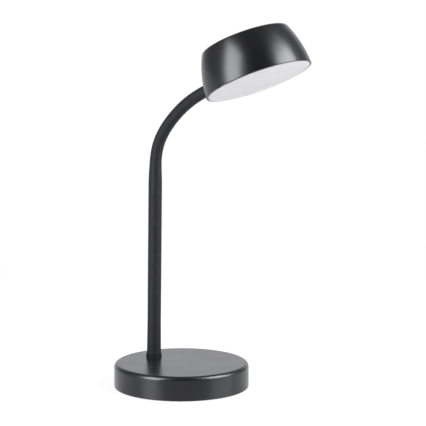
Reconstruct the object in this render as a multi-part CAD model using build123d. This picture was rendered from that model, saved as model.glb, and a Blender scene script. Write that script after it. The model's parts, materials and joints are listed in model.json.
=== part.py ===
"""Gooseneck desk lamp: weighted round base, upright stem, bendable neck and a drum-shaped head.

Millimetres and degrees.  The origin is the centre of the base's underside, on the resting plane.
+Z is up, +X is the way the lamp reaches, and the arm lies in the XZ plane at rest.

The neck is a chain of short sections.  Section k turns about a ball centre at the end of section
k - 1: a ball end sits in the next section's socket with a small gap, so the neck bends without
its sections meeting.  The same sleeve covers the stem and the neck, and thins where it leaves the
stem tube.
"""

import os
from math import cos, hypot, radians, sin, sqrt, tan

from build123d import *

# ---------------------------------------------------------------- fits
SLIP = 0.05  # radial clearance of a piece pushed into or onto another
HOLE_EASE = 0.2  # radial clearance of a screw or thread in its clearance hole
SEAT_GAP = 0.1  # gap between a tilted piece and the flat one that carries it
PANEL_GAP = 0.2  # gap round a plate or panel that drops into a shell

# ---------------------------------------------------------------- base
BASE_DIAMETER = 120.0
BASE_HEIGHT = 22.2  # from the resting plane to the top face
BASE_LIFT = 0.6  # the pad holds the cover this far off the table
BASE_EDGE = 3.6  # rounding of the top edge
BASE_FOOT_EDGE = 0.8  # rounding of the lower edge
COVER_WALL = 2.4
COVER_TOP = 2.2
PAD_THICKNESS = 1.6
PAD_INSET = 3.0  # from the inside of the cover's wall to the pad
PLATE_THICKNESS = 1.8
BALLAST_THICKNESS = 6.5
BALLAST_INSET = 1.6  # from the inside of the cover's wall to the ballast

BASE_SCREW_INSET = 7.6  # from the inside of the cover's wall to the screws' axes
BASE_SCREW_COUNT = 4
BASE_SCREW_DIAMETER = 2.9
BASE_SCREW_LENGTH = 10.0
BASE_SCREW_HEAD = 5.6
BASE_SCREW_HEAD_HEIGHT = 1.4
BASE_BOSS_DIAMETER = 7.0

# ---------------------------------------------------------------- power inlet
BOARD_LENGTH = 12.0  # along X
BOARD_WIDTH = 24.0
BOARD_THICKNESS = 1.0
BOARD_POST = 4.0  # height of the posts that carry the board
BOARD_POST_DIAMETER = 5.0
SOCKET_WIDTH = 8.94
SOCKET_HEIGHT = 3.26
SOCKET_DEPTH = 7.3
SOCKET_WALL = 0.3
TONGUE_WIDTH = 6.7
TONGUE_THICKNESS = 0.7
SOCKET_CLEARANCE = 0.35  # between the socket's shell and the window in the cover
SMALL_SCREW_DIAMETER = 1.9
SMALL_SCREW_LENGTH = 5.0
SMALL_SCREW_HEAD = 3.6
SMALL_SCREW_HEAD_HEIGHT = 1.2

# ---------------------------------------------------------------- foot of the arm
ARM_INSET = 26.0  # from the base's back edge to the arm's axis
ARM_LEAN = 0.9  # lean of the stem towards the head
THREAD_DIAMETER = 9.8
NUT_FLATS = 13.0
NUT_THICKNESS = 3.5
WASHER_DIAMETER = 16.0
WASHER_THICKNESS = 0.9
THREAD_STANDOUT = 0.4  # thread left below the nut
FLANGE_DIAMETER = 11.6
FLANGE_THICKNESS = 1.5
SPIGOT_LENGTH = 12.0
COLLAR_HEIGHT = 3.0
COLLAR_FOOT_DIAMETER = 14.2
COLLAR_LIP = 0.35  # thickness of the collar's top edge

# ---------------------------------------------------------------- stem
STEM_DIAMETER = 12.1  # over the sleeve
STEM_FOOT_DIAMETER = 12.7  # over the sleeve where it leaves the base
STEM_FOOT_LENGTH = 36.0  # the sleeve narrows over this length above the base
TUBE_DIAMETER = 9.6
TUBE_WALL = 0.75
FIRST_JOINT_HEIGHT = 194.6  # of the neck's first ball centre
TUBE_TOP_DROP = 9.0  # the tube ends this far below the first ball centre
TAPER_LENGTH = 17.0  # the sleeve narrows over this length below the first ball centre
STEM_TOP_DIAMETER = 11.3  # over the sleeve at the first ball centre

# ---------------------------------------------------------------- neck
NECK_DIAMETER = 10.5  # over the sleeve
SLEEVE_WALL = 1.2
SECTION_LENGTH = 11.5  # from one ball centre to the next
REST_BEND_ANGLES = (3.5, 12.0, 13.5, 9.0, 5.5, 5.0, 5.0, 5.5, 3.5, 0.5)  # at the ball centres
BALL_GAP = 0.3
LEAD_DIAMETER = 2.4
LEAD_EASE = 0.3  # radial clearance of the lead in its bore
LEAN_BEND_RADIUS = 200.0  # of the lead's slight turn into the leaning stem
MOUTH_ANGLE = 24.0  # half angle of the ball's bell mouth, for the lead's swing
WINDING_PITCH = 1.9
WINDING_DEPTH = 0.4

# ---------------------------------------------------------------- head
HEAD_DIAMETER = 95.0  # at the rim
HEAD_HEIGHT = 38.5
HEAD_SIDE_RADIUS = 100.0  # of the bowed side
HEAD_BELLY_DROP = 3.7  # the side would be upright this far below the rim
HEAD_EDGE = 3.2  # rounding of the top edge
HEAD_WALL = 2.0
RIM_WALL = 1.7
RIM_EDGE = 0.5
HOLE_EDGE = 0.4  # rounding of the button's hole
LEDGE_DEPTH = 2.0
LEDGE_WIDTH = 2.0
ENTRY_HEIGHT = 15.0  # of the arm's axis above the rim
TIP_LENGTH = 12.9  # from the last ball centre to the head's side
TIP_NUT_FLATS = 11.0
TIP_NUT_THICKNESS = 3.0
TIP_WASHER_DIAMETER = 13.0
TIP_WASHER_THICKNESS = 0.8
TIP_BOSS_DIAMETER = 15.0
TIP_BOSS_DEPTH = 4.6  # from the head's side to the boss's inner face
DIFFUSER_THICKNESS = 2.2
DIFFUSER_PROUD = 0.4
DIFFUSER_EDGE = 0.4
REFLECTOR_WALL = 1.0
REFLECTOR_DEPTH = 5.4
REFLECTOR_FLANGE = 2.5
LED_BOARD_DIAMETER = 61.0
LED_BOARD_THICKNESS = 1.2
LED_SIZE = 3.0
LED_HEIGHT = 0.7
LED_RING_COUNT = 3
FIRST_RING_COUNT = 6  # LEDs in the first ring; each further ring has as many more
LED_FLANGE_GAP = 4.0  # from the reflector's flange to the outer ring of LEDs
SINK_THICKNESS = 2.0
FIN_HEIGHT = 4.0
FIN_THICKNESS = 1.2
FIN_COUNT = 12
FIN_INNER_RADIUS = 12.0
HEAD_SCREW_COUNT = 3  # between LEDs of the outer ring
HEAD_BOSS_DIAMETER = 6.4
LEAD_DROP_RADIUS = 18.0  # where the lead passes down through the heat sink
LEAD_BEND_RADIUS = 3.5  # of the lead's corner in the head

# ---------------------------------------------------------------- switch
BUTTON_DIAMETER = 18.0
BUTTON_PROUD = 0.4
BUTTON_TRAVEL = 0.8
BUTTON_GAP = 0.3
BUTTON_DISH = 0.5
BUTTON_FLANGE_WIDTH = 1.4
BUTTON_FLANGE_THICKNESS = 1.3
BUTTON_STOP_GAP = 0.3  # left above the switch's plunger at full travel
PLUNGER_DIAMETER = 3.4
PLUNGER_HEIGHT = 1.0
TACT_SIZE = 6.0
TACT_HEIGHT = 3.5
SWITCH_BOARD_LENGTH = 33.0
SWITCH_BOARD_WIDTH = 14.0
SWITCH_BOARD_THICKNESS = 1.2
SWITCH_BOSS_OFFSET = 13.5
SWITCH_BOSS_DIAMETER = 5.0
SWITCH_LEAD_DIAMETER = 1.6
SWITCH_LEAD_OFFSET = 5.0

# ---------------------------------------------------------------- worked-out values
base_radius = BASE_DIAMETER / 2
arm_offset = base_radius - ARM_INSET  # the arm stands this far behind the base's centre
cover_inner_radius = base_radius - COVER_WALL
cover_ceiling = BASE_HEIGHT - COVER_TOP
plate_top = PAD_THICKNESS + PLATE_THICKNESS
ballast_bottom = cover_ceiling - BALLAST_THICKNESS
board_bottom = plate_top + BOARD_POST
board_top = board_bottom + BOARD_THICKNESS
socket_front = PANEL_GAP - sqrt(cover_inner_radius**2 - (SOCKET_WIDTH / 2) ** 2)
board_back = PANEL_GAP - sqrt(cover_inner_radius**2 - (BOARD_WIDTH / 2) ** 2)
board_screw_x = board_back + BOARD_LENGTH - BOARD_POST_DIAMETER / 2
board_screw_y = BOARD_WIDTH / 2 - BOARD_POST_DIAMETER / 2
socket_middle = board_top + SOCKET_HEIGHT / 2
thread_radius = THREAD_DIAMETER / 2
nut_top = ballast_bottom - WASHER_THICKNESS
thread_end = nut_top - NUT_THICKNESS - THREAD_STANDOUT
tube_inner_radius = TUBE_DIAMETER / 2 - TUBE_WALL
lead_radius = LEAD_DIAMETER / 2
lead_bore = lead_radius + LEAD_EASE
lead_run_height = plate_top + LEAD_EASE + lead_radius
foot_point = Vector(-arm_offset, 0, BASE_HEIGHT)
stem_length = (FIRST_JOINT_HEIGHT - BASE_HEIGHT) / cos(radians(ARM_LEAN))
tube_start = FLANGE_THICKNESS + SEAT_GAP
tube_end = stem_length - TUBE_TOP_DROP
neck_radius = NECK_DIAMETER / 2
stem_top_radius = STEM_TOP_DIAMETER / 2


def side_fall(rise):
    """How far the head's side arc falls inwards at a rise above its widest point."""
    return HEAD_SIDE_RADIUS - sqrt(HEAD_SIDE_RADIUS**2 - rise**2)


def head_side(height):
    """Outer radius of the head at a height above its rim: an arc bowed outwards."""
    return HEAD_DIAMETER / 2 + side_fall(HEAD_BELLY_DROP) - side_fall(HEAD_BELLY_DROP + height)


# ---------------------------------------------------------------- arm frames
def arm_frames():
    """Frames at the ball centres, Z along the section that starts there, and the head's frame."""
    frames = []
    lean = ARM_LEAN
    along = Vector(sin(radians(lean)), 0, cos(radians(lean)))
    point = foot_point + along * stem_length
    for bend in REST_BEND_ANGLES:
        lean += bend
        along = Vector(sin(radians(lean)), 0, cos(radians(lean)))
        frames.append(Location(point, (0, lean, 0)))
        point = point + along * SECTION_LENGTH
    last = frames[-1].position
    tilt = 90 - lean
    up = Vector(-sin(radians(tilt)), 0, cos(radians(tilt)))
    entry = last + along * TIP_LENGTH
    rim_centre = entry + along * head_side(ENTRY_HEIGHT) - up * ENTRY_HEIGHT
    return frames, Location(rim_centre, (0, -tilt, 0))


stem_frame = Location(foot_point, (0, ARM_LEAN, 0))
neck_frames, head_frame = arm_frames()
section_count = len(neck_frames) - 1


# ---------------------------------------------------------------- helpers
UP = (Align.CENTER, Align.CENTER, Align.MIN)  # a solid that stands on its plane


def save(node, shape):
    """Write one node to its own STEP file."""
    export_step(shape, os.path.join("parts", node + ".step"))


def turned(*edges):
    """Revolve a closed outline, drawn as radius and height, about Z."""
    return revolve(Plane.XZ * make_face(Curve() + list(edges)), Axis.Z)


def polygon_turned(*points):
    """Revolve a straight-sided outline about Z."""
    return revolve(Plane.XZ * make_face(Polyline(*points, close=True)), Axis.Z)


def ball_arc(centre_height, radius, start, end):
    """Arc about a point on the axis, from one outline point to another."""
    middle = ((start[0] + end[0]) / 2, (start[1] + end[1]) / 2 - centre_height)
    scale = radius / hypot(*middle)
    return ThreePointArc(start, (middle[0] * scale, middle[1] * scale + centre_height), end)


def ring(outer_radius, inner_radius, bottom, top):
    """Plain ring about Z."""
    return Pos(0, 0, bottom) * (
        Cylinder(outer_radius, top - bottom, align=UP) - Cylinder(inner_radius, top - bottom, align=UP)
    )


def rod(radius, bottom, top):
    """Plain round bar about Z."""
    return Pos(0, 0, bottom) * Cylinder(radius, top - bottom, align=UP)


def hexagon_nut(flats, bore_radius, bottom, top):
    """Hexagon nut about Z with chamfered corners."""
    corner = flats / 2 / cos(radians(30))
    body = extrude(RegularPolygon(corner, 6), top - bottom)
    crown = Cylinder(corner, top - bottom, align=UP)
    crown = chamfer(crown.edges().filter_by(GeomType.CIRCLE), (corner - flats / 2) * 0.6)
    return Pos(0, 0, bottom) * (body & crown - Cylinder(bore_radius, top - bottom, align=UP))


def countersunk_screw(diameter, length, head, head_height):
    """Screw with its flat head at z = 0 and its shank upwards."""
    shank = diameter / 2
    return polygon_turned((0, 0), (head / 2, 0), (shank, head_height), (shank, length - shank), (0, length))


def pan_screw(length):
    """Small screw with its head below z = 0 and its shank upwards."""
    shank = SMALL_SCREW_DIAMETER / 2
    head = SMALL_SCREW_HEAD / 2
    return turned(
        Line((0, -SMALL_SCREW_HEAD_HEIGHT), (head * 0.7, -SMALL_SCREW_HEAD_HEIGHT)),
        ThreePointArc(
            (head * 0.7, -SMALL_SCREW_HEAD_HEIGHT), (head * 0.93, -SMALL_SCREW_HEAD_HEIGHT * 0.6), (head, 0)
        ),
        Line((head, 0), (shank, 0)),
        Line((shank, 0), (shank, length - shank)),
        Line((shank, length - shank), (0, length)),
        Line((0, length), (0, -SMALL_SCREW_HEAD_HEIGHT)),
    )


def around(radius, count, start=0.0):
    """Positions evenly spaced on a circle about Z."""
    angles = [radians(start + 360 / count * i) for i in range(count)]
    return [Pos(radius * cos(angle), radius * sin(angle), 0) for angle in angles]


def lead_along(points, bend, radius):
    """Round lead along straight runs joined by tangent arcs."""
    path = FilletPolyline(*points, radius=bend)
    section = Plane(path @ 0, z_dir=path % 0) * Circle(radius)
    return sweep(section, path=path)


# ---------------------------------------------------------------- base
def base_screw_places():
    """The cover's bosses, the ballast's holes and the plate's holes share these places."""
    return around(cover_inner_radius - BASE_SCREW_INSET, BASE_SCREW_COUNT, 45)


def base_cover():
    """Round shell, open below, with screw bosses, a hole for the arm and a socket window."""
    inner = cover_inner_radius
    shell = polygon_turned(
        (0, BASE_HEIGHT),
        (base_radius, BASE_HEIGHT),
        (base_radius, BASE_LIFT),
        (inner, BASE_LIFT),
        (inner, cover_ceiling),
        (0, cover_ceiling),
    )
    top_edge = shell.edges().filter_by(GeomType.CIRCLE).sort_by(SortBy.RADIUS)[-2:].sort_by(Axis.Z)
    shell = fillet(top_edge[-1], BASE_EDGE)
    foot_edge = shell.edges().filter_by(GeomType.CIRCLE).sort_by(Axis.Z)[:2].sort_by(SortBy.RADIUS)
    shell = fillet(foot_edge[-1], BASE_FOOT_EDGE)
    boss = rod(BASE_BOSS_DIAMETER / 2, plate_top, cover_ceiling)
    pilot_top = PAD_THICKNESS + BASE_SCREW_LENGTH + HOLE_EASE
    pilot = rod(BASE_SCREW_DIAMETER / 2 + SLIP, plate_top, pilot_top)
    for place in base_screw_places():
        shell += place * boss
        shell -= place * pilot
    shell -= Pos(-arm_offset, 0, cover_ceiling) * Cylinder(thread_radius + HOLE_EASE, COVER_TOP, align=UP)
    window = SlotOverall(
        SOCKET_WIDTH + 2 * SOCKET_CLEARANCE, SOCKET_HEIGHT + 2 * SOCKET_CLEARANCE
    )
    window_plane = Plane(origin=(socket_front, 0, socket_middle), x_dir=(0, 1, 0), z_dir=(-1, 0, 0))
    return shell - extrude(window_plane * window, COVER_WALL * 2)


def ballast_plate():
    """Steel disc under the cover's ceiling, with holes for the bosses and the arm's thread."""
    plate = rod(cover_inner_radius - BALLAST_INSET, ballast_bottom, cover_ceiling)
    for place in base_screw_places():
        plate -= place * rod(BASE_BOSS_DIAMETER / 2 + PANEL_GAP, ballast_bottom, cover_ceiling)
    return plate - Pos(-arm_offset, 0, 0) * rod(thread_radius + HOLE_EASE, ballast_bottom, cover_ceiling)


def board_post_places():
    """The posts on the base plate, the board's holes and its screws share these places."""
    return [Pos(board_screw_x, side * board_screw_y, 0) for side in (-1, 1)]


def base_plate():
    """Disc that closes the cover from below, with countersunk holes and posts for the board."""
    plate = rod(cover_inner_radius - PANEL_GAP, PAD_THICKNESS, plate_top)
    screw_hole = BASE_SCREW_DIAMETER / 2 + HOLE_EASE
    countersink = polygon_turned(
        (0, PAD_THICKNESS),
        (BASE_SCREW_HEAD / 2 + SLIP, PAD_THICKNESS),
        (screw_hole, PAD_THICKNESS + BASE_SCREW_HEAD_HEIGHT),
        (screw_hole, plate_top),
        (0, plate_top),
    )
    for place in base_screw_places():
        plate -= place * countersink
    post = rod(BOARD_POST_DIAMETER / 2, plate_top, board_bottom)
    pilot = rod(SMALL_SCREW_DIAMETER / 2 + SLIP, plate_top, board_bottom)
    for place in board_post_places():
        plate += place * post
        plate -= place * pilot
    return plate


def foot_pad():
    """Non-slip disc stuck under the base plate, over the screws."""
    return rod(cover_inner_radius - PAD_INSET, 0, PAD_THICKNESS)


def base_screws():
    """Screws from below, through the plate into the cover's bosses."""
    screw = Pos(0, 0, PAD_THICKNESS) * countersunk_screw(
        BASE_SCREW_DIAMETER, BASE_SCREW_LENGTH, BASE_SCREW_HEAD, BASE_SCREW_HEAD_HEIGHT
    )
    return Compound(children=[place * screw for place in base_screw_places()])


# ---------------------------------------------------------------- power inlet
def power_board():
    """Small board behind the socket, on two posts."""
    board = Pos(board_back, 0, board_bottom) * Box(
        BOARD_LENGTH, BOARD_WIDTH, BOARD_THICKNESS, align=(Align.MIN, Align.CENTER, Align.MIN)
    )
    hole = rod(SMALL_SCREW_DIAMETER / 2 + HOLE_EASE, board_bottom, board_top)
    for place in board_post_places():
        board -= place * hole
    return board


def power_socket():
    """Flat-oval metal shell with a tongue inside, open towards the window."""
    mouth = Plane(origin=(socket_front, 0, socket_middle), x_dir=(0, 1, 0), z_dir=(1, 0, 0))
    outside = extrude(mouth * SlotOverall(SOCKET_WIDTH, SOCKET_HEIGHT), SOCKET_DEPTH)
    inside = SlotOverall(SOCKET_WIDTH - 2 * SOCKET_WALL, SOCKET_HEIGHT - 2 * SOCKET_WALL)
    room = SOCKET_DEPTH - 2 * SOCKET_WALL
    shell = outside - extrude(mouth * inside, room)
    tongue = Box(room, TONGUE_WIDTH, TONGUE_THICKNESS, align=(Align.MIN, Align.CENTER, Align.CENTER))
    return shell + Pos(socket_front + 2 * SOCKET_WALL, 0, socket_middle) * tongue


def board_screws():
    """Screws through the board into its posts."""
    screw = Rot(180, 0, 0) * pan_screw(SMALL_SCREW_LENGTH - SMALL_SCREW_HEAD_HEIGHT)
    return Compound(children=[place * Pos(0, 0, board_top) * screw for place in board_post_places()])


# ---------------------------------------------------------------- foot of the arm
def root_ferrule():
    """Hollow threaded fitting: flange on the cover, thread through cover and ballast, spigot in the tube."""
    upright = Pos(-arm_offset, 0, 0) * (
        rod(thread_radius, thread_end, BASE_HEIGHT)
        + rod(FLANGE_DIAMETER / 2, BASE_HEIGHT, BASE_HEIGHT + FLANGE_THICKNESS)
    )
    spigot_top = FLANGE_THICKNESS + SPIGOT_LENGTH
    spigot = stem_frame * rod(tube_inner_radius - SLIP, FLANGE_THICKNESS / 2, spigot_top)
    bore = rod(lead_bore, thread_end, BASE_HEIGHT + 2 * spigot_top)
    return upright + spigot - Pos(-arm_offset, 0, 0) * bore


def root_washer():
    """Washer under the ballast."""
    washer = ring(WASHER_DIAMETER / 2, thread_radius + HOLE_EASE, nut_top, ballast_bottom)
    return Pos(-arm_offset, 0, 0) * washer


def root_nut():
    """Nut that clamps the arm to the cover and the ballast."""
    return Pos(-arm_offset, 0, 0) * hexagon_nut(
        NUT_FLATS, thread_radius + SLIP, nut_top - NUT_THICKNESS, nut_top
    )


def stem_collar():
    """Flared ring round the foot of the stem."""
    bore = STEM_FOOT_DIAMETER / 2 + HOLE_EASE
    lip = (bore + COLLAR_LIP, COLLAR_HEIGHT)
    foot = (COLLAR_FOOT_DIAMETER / 2, 0)
    waist = ((lip[0] * 2 + foot[0]) / 3, COLLAR_HEIGHT / 3)
    collar = turned(
        Line((bore, 0), foot),
        ThreePointArc(foot, waist, lip),
        Line(lip, (bore, COLLAR_HEIGHT)),
        Line((bore, COLLAR_HEIGHT), (bore, 0)),
    )
    return Pos(foot_point) * collar


# ---------------------------------------------------------------- stem
def stem_tube():
    """Steel tube that makes the lower arm rigid."""
    return stem_frame * ring(TUBE_DIAMETER / 2, tube_inner_radius, tube_start, tube_end)


def mouth_point(radius, centre_height):
    """Where the ball's bell mouth meets a sphere about the ball centre."""
    slope = tan(radians(MOUTH_ANGLE))
    a = 1 + slope**2
    b = 2 * lead_bore * slope
    c = lead_bore**2 - radius**2
    rise = (-b + sqrt(b * b - 4 * a * c)) / (2 * a)
    return (lead_bore + rise * slope, centre_height + rise)


def sleeve_ball_edges(ball_radius, centre_height):
    """Outline of a sleeve's ball end, from its outer edge over the ball to its inner edge."""
    inner = ball_radius - SLEEVE_WALL
    outer_mouth = mouth_point(ball_radius, centre_height)
    inner_mouth = mouth_point(inner, centre_height)
    return [
        ball_arc(centre_height, ball_radius, (ball_radius, centre_height), outer_mouth),
        Line(outer_mouth, inner_mouth),
        ball_arc(centre_height, inner, inner_mouth, (inner, centre_height)),
    ]


def core_ball_edges(core_radius, centre_height):
    """Outline of a core's ball end, from its outside over the ball to its bore."""
    mouth = mouth_point(core_radius, centre_height)
    return [
        ball_arc(centre_height, core_radius, (core_radius, centre_height), mouth),
        Line(mouth, (lead_bore, centre_height)),
    ]


def stem_sleeve():
    """Sleeve over the tube, narrowing to the neck, with the first ball end."""
    inner = TUBE_DIAMETER / 2 + SLIP
    outer = STEM_DIAMETER / 2
    neck_inner = stem_top_radius - SLEEVE_WALL
    narrow = stem_length - TAPER_LENGTH
    shoulder = tube_end + SEAT_GAP
    return stem_frame * turned(
        Line((inner, tube_start), (STEM_FOOT_DIAMETER / 2, tube_start)),
        Line((STEM_FOOT_DIAMETER / 2, tube_start), (outer, STEM_FOOT_LENGTH)),
        Line((outer, STEM_FOOT_LENGTH), (outer, narrow)),
        Line((outer, narrow), (stem_top_radius, stem_length)),
        *sleeve_ball_edges(stem_top_radius, stem_length),
        Line((neck_inner, stem_length), (neck_inner, shoulder)),
        Line((neck_inner, shoulder), (inner, shoulder)),
        Line((inner, shoulder), (inner, tube_start)),
    )


def neck_socket():
    """Turned fitting in the tube's top that carries the first ball centre."""
    spigot = tube_inner_radius - SLIP
    body = stem_top_radius - SLEEVE_WALL - SLIP
    start = tube_end - SPIGOT_LENGTH
    return stem_frame * turned(
        Line((lead_bore, start), (spigot, start)),
        Line((spigot, start), (spigot, tube_end)),
        Line((spigot, tube_end), (spigot, tube_end + SEAT_GAP)),
        Line((spigot, tube_end + SEAT_GAP), (body, tube_end + SEAT_GAP)),
        Line((body, tube_end + SEAT_GAP), (body, stem_length)),
        *core_ball_edges(body, stem_length),
        Line((lead_bore, stem_length), (lead_bore, start)),
    )


def stem_lead():
    """Inner lead from the board, under the nut and up the stem to the first ball centre."""
    start = Vector(board_back + BOARD_LENGTH / 2, 0, board_bottom)
    low_start = Vector(start.X, 0, lead_run_height)
    low_end = Vector(-arm_offset, 0, lead_run_height)
    top = (stem_frame * Pos(0, 0, stem_length + lead_radius / 2)).position
    board_turn = board_bottom - lead_run_height - SEAT_GAP
    nut_turn = thread_end - lead_run_height
    points = [start, low_start, low_end, foot_point, top]
    return lead_along(points, [board_turn, nut_turn, LEAN_BEND_RADIUS], lead_radius)


# ---------------------------------------------------------------- neck
def winding_outline(core_radius, bottom, top):
    """Stepped outline of the steel windings, from bottom to top."""
    turns = max(1, int((top - bottom) / WINDING_PITCH))
    pitch = (top - bottom) / turns
    points = [(core_radius, bottom)]
    for i in range(turns):
        groove = bottom + pitch * (i + 0.5)
        points.append((core_radius, groove - pitch / 4))
        points.append((core_radius - WINDING_DEPTH, groove))
        points.append((core_radius, groove + pitch / 4))
    points.append((core_radius, top))
    return Polyline(*points)


def neck_sleeve(start_radius, end_radius):
    """Sleeve of one section: socket rim at z = 0, ball end about the next ball centre."""
    socket = start_radius + BALL_GAP
    rim = (start_radius, sqrt(socket**2 - start_radius**2))
    inner = start_radius - SLEEVE_WALL
    seat = (inner, sqrt(socket**2 - inner**2))
    end_inner = end_radius - SLEEVE_WALL
    return turned(
        ball_arc(0, socket, seat, rim),
        Line(rim, (end_radius, SECTION_LENGTH)),
        *sleeve_ball_edges(end_radius, SECTION_LENGTH),
        Line((end_inner, SECTION_LENGTH), seat),
    )


def neck_core(start_radius, end_radius):
    """Steel windings of one section, with a bore for the lead and a ball end."""
    socket = start_radius + BALL_GAP
    core_radius = end_radius - SLEEVE_WALL - SLIP
    seat = (core_radius, sqrt(socket**2 - core_radius**2))
    bore = (lead_bore, sqrt(socket**2 - lead_bore**2))
    return turned(
        ball_arc(0, socket, bore, seat),
        winding_outline(core_radius, seat[1], SECTION_LENGTH),
        *core_ball_edges(core_radius, SECTION_LENGTH),
        Line((lead_bore, SECTION_LENGTH), bore),
    )


def neck_lead():
    """Stretch of the inner lead in one section, rounded where it meets the next stretch."""
    start = lead_radius + BALL_GAP
    return turned(
        Line((0, start), (lead_radius, start)),
        Line((lead_radius, start), (lead_radius, SECTION_LENGTH)),
        ThreePointArc(
            (lead_radius, SECTION_LENGTH),
            (lead_radius * sin(radians(45)), SECTION_LENGTH + lead_radius * sin(radians(45))),
            (0, SECTION_LENGTH + lead_radius),
        ),
        Line((0, SECTION_LENGTH + lead_radius), (0, start)),
    )


# ---------------------------------------------------------------- head
def head_profile(inset, bottom, top, edge):
    """Closed outline of the head's solid, offset inwards, from bottom to top."""
    low = (head_side(bottom) - inset, bottom)
    middle = (head_side((bottom + top) / 2) - inset, (bottom + top) / 2)
    high = (head_side(top) - inset, top)
    solid = turned(
        Line((0, bottom), low),
        ThreePointArc(low, middle, high),
        Line(high, (0, top)),
        Line((0, top), (0, bottom)),
    )
    rim = solid.edges().filter_by(GeomType.CIRCLE).sort_by(Axis.Z)[-1]
    return fillet(rim, edge)


def entry_rod(radius, inner_x, outer_x):
    """Round bar along the arm's axis in the head, between two distances from the head's axis."""
    return Pos(-outer_x, 0, ENTRY_HEIGHT) * Rot(0, 90, 0) * Cylinder(radius, outer_x - inner_x, align=UP)


def head_screw_places():
    """The head's bosses and the holes in the heat sink and the LED board share these places."""
    return around(outer_ring_radius, HEAD_SCREW_COUNT)


def switch_screw_places():
    """The switch bosses and the switch board's holes share these places."""
    return [Pos(0, side * SWITCH_BOSS_OFFSET, 0) for side in (-1, 1)]


head_ceiling = HEAD_HEIGHT - HEAD_WALL
diffuser_top = DIFFUSER_THICKNESS - DIFFUSER_PROUD
ledge_top = diffuser_top + LEDGE_DEPTH
diffuser_radius = HEAD_DIAMETER / 2 - RIM_WALL - PANEL_GAP
ledge_radius = diffuser_radius + PANEL_GAP - LEDGE_WIDTH
reflector_top = diffuser_top + REFLECTOR_DEPTH
outer_ring_radius = LED_BOARD_DIAMETER / 2 - REFLECTOR_FLANGE - LED_FLANGE_GAP
led_board_top = reflector_top + LED_BOARD_THICKNESS
sink_top = led_board_top + SINK_THICKNESS
led_stack = LED_BOARD_THICKNESS + SINK_THICKNESS
entry_radius = head_side(ENTRY_HEIGHT)
boss_face = entry_radius - TIP_BOSS_DEPTH
tip_nut_face = boss_face - TIP_WASHER_THICKNESS
tip_thread_end = tip_nut_face - TIP_NUT_THICKNESS - THREAD_STANDOUT
tip_thread_radius = neck_radius - SLEEVE_WALL - SLIP
button_radius = BUTTON_DIAMETER / 2
button_top = HEAD_HEIGHT + BUTTON_PROUD
button_bottom = head_ceiling - SEAT_GAP - BUTTON_FLANGE_THICKNESS
plunger_top = button_bottom - BUTTON_TRAVEL - BUTTON_STOP_GAP
switch_board_top = plunger_top - PLUNGER_HEIGHT - TACT_HEIGHT
switch_board_bottom = switch_board_top - SWITCH_BOARD_THICKNESS
small_pilot = SMALL_SCREW_DIAMETER / 2 + SLIP
small_shank = SMALL_SCREW_LENGTH - SMALL_SCREW_HEAD_HEIGHT


def head_shell():
    """Bowed drum with a ledge for the diffuser, bosses inside, and holes for the arm and the button."""
    outside = head_profile(0, 0, HEAD_HEIGHT, HEAD_EDGE)
    rim = outside.edges().filter_by(GeomType.CIRCLE).sort_by(Axis.Z)[0]
    outside = fillet(rim, RIM_EDGE)
    room = head_profile(HEAD_WALL, ledge_top, head_ceiling, HEAD_EDGE - HEAD_WALL / 2)
    shell = outside - room
    shell -= rod(diffuser_radius + PANEL_GAP, 0, diffuser_top)
    shell -= rod(ledge_radius, 0, ledge_top)
    shell += entry_rod(TIP_BOSS_DIAMETER / 2, boss_face, entry_radius) & outside
    shell -= entry_rod(tip_thread_radius + HOLE_EASE, boss_face - SEAT_GAP, entry_radius + HEAD_WALL)
    for place in head_screw_places():
        shell += place * rod(HEAD_BOSS_DIAMETER / 2, sink_top, head_ceiling)
        shell -= place * rod(small_pilot, sink_top, sink_top + small_shank)
    for place in switch_screw_places():
        shell += place * rod(SWITCH_BOSS_DIAMETER / 2, switch_board_top, head_ceiling)
        shell -= place * rod(small_pilot, switch_board_top, switch_board_top + small_shank)
    shell -= rod(button_radius + BUTTON_GAP, head_ceiling - HEAD_WALL, HEAD_HEIGHT + HEAD_WALL)
    top_edges = shell.edges().filter_by(GeomType.CIRCLE).group_by(Axis.Z)[-1]
    return fillet(top_edges.sort_by(SortBy.RADIUS)[0], HOLE_EDGE)


def diffuser():
    """Opal disc against the ledge, a little proud of the rim."""
    disc = rod(diffuser_radius, -DIFFUSER_PROUD, diffuser_top)
    return fillet(disc.edges().filter_by(GeomType.CIRCLE).sort_by(Axis.Z)[0], DIFFUSER_EDGE)


def reflector():
    """White cone from the diffuser up to a flange that carries the LED board."""
    wide = ledge_radius - PANEL_GAP
    narrow = LED_BOARD_DIAMETER / 2
    return polygon_turned(
        (wide, diffuser_top),
        (wide, diffuser_top + REFLECTOR_WALL),
        (narrow + REFLECTOR_WALL, reflector_top),
        (narrow - REFLECTOR_FLANGE, reflector_top),
        (narrow - REFLECTOR_FLANGE, reflector_top - REFLECTOR_WALL),
        (narrow, reflector_top - REFLECTOR_WALL),
        (wide - REFLECTOR_WALL, diffuser_top),
    )


def led_board():
    """Round board with holes for the head's screws."""
    board = rod(LED_BOARD_DIAMETER / 2, reflector_top, led_board_top)
    for place in head_screw_places():
        board -= place * rod(SMALL_SCREW_DIAMETER / 2 + HOLE_EASE, reflector_top, led_board_top)
    return board


def led_chips():
    """Rings of LEDs under the board, turned off the screws."""
    chip = Pos(0, 0, reflector_top - LED_HEIGHT) * Box(LED_SIZE, LED_SIZE, LED_HEIGHT, align=UP)
    chips = []
    for number in range(1, LED_RING_COUNT + 1):
        count = FIRST_RING_COUNT * number
        radius = outer_ring_radius * number / LED_RING_COUNT
        chips += [place * chip for place in around(radius, count, 180 / count)]
    return Compound(children=chips)


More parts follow.
